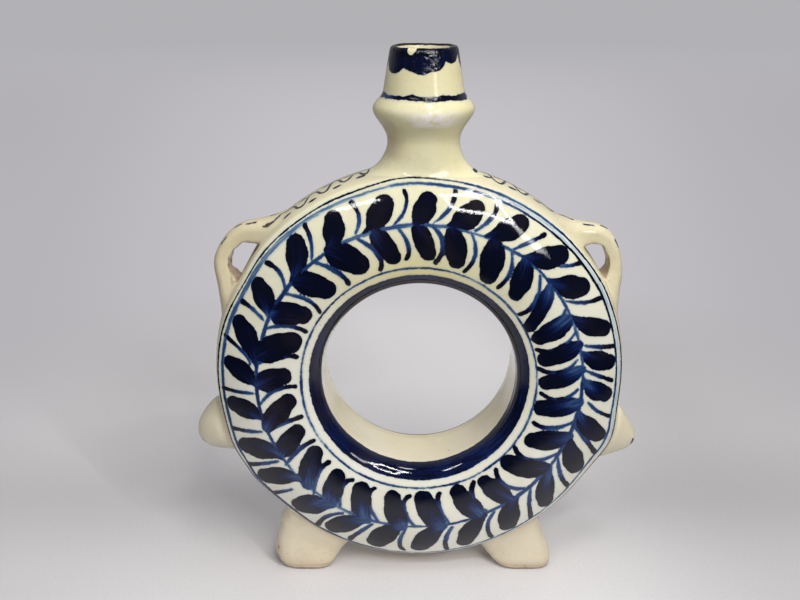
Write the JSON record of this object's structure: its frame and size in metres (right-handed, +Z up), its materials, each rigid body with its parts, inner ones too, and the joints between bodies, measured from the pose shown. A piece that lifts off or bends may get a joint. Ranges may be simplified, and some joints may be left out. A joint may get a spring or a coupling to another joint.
{
  "type": "ring flask",
  "caption": "Hollow ring-shaped glazed earthenware flask with a collared neck on top, strap loops for a cord, side lugs and short feet, painted with a leaf garland.",
  "frame": {"origin": "on the floor under the middle of the flask, midway between the feet and between the two faces", "axes": "+Z up along the neck; +Y through the hole of the ring from the painted front to the back; +X to the right as seen from the front"},
  "size_m": [0.1702, 0.04, 0.2015],
  "materials": {
    "glazed_body": "glossy ivory glaze with thin dark blue brushwork",
    "painted_faces": "glossy ivory glaze with a dark cobalt leaf garland and a dark blue band round the hole",
    "glazed_fittings": "glossy ivory glaze, thin and worn to the clay at the edges"
  },
  "bodies": {
    "root": {"outer_wall": "glazed_body", "inner_wall": "glazed_body", "front_face": "painted_faces", "rear_face": "painted_faces", "neck": "glazed_body", "ear_left": "glazed_fittings", "ear_right": "glazed_fittings", "lug_left": "glazed_fittings", "lug_right": "glazed_fittings", "foot_left": "glazed_fittings", "foot_right": "glazed_fittings"}
  },
  "joints": []
}
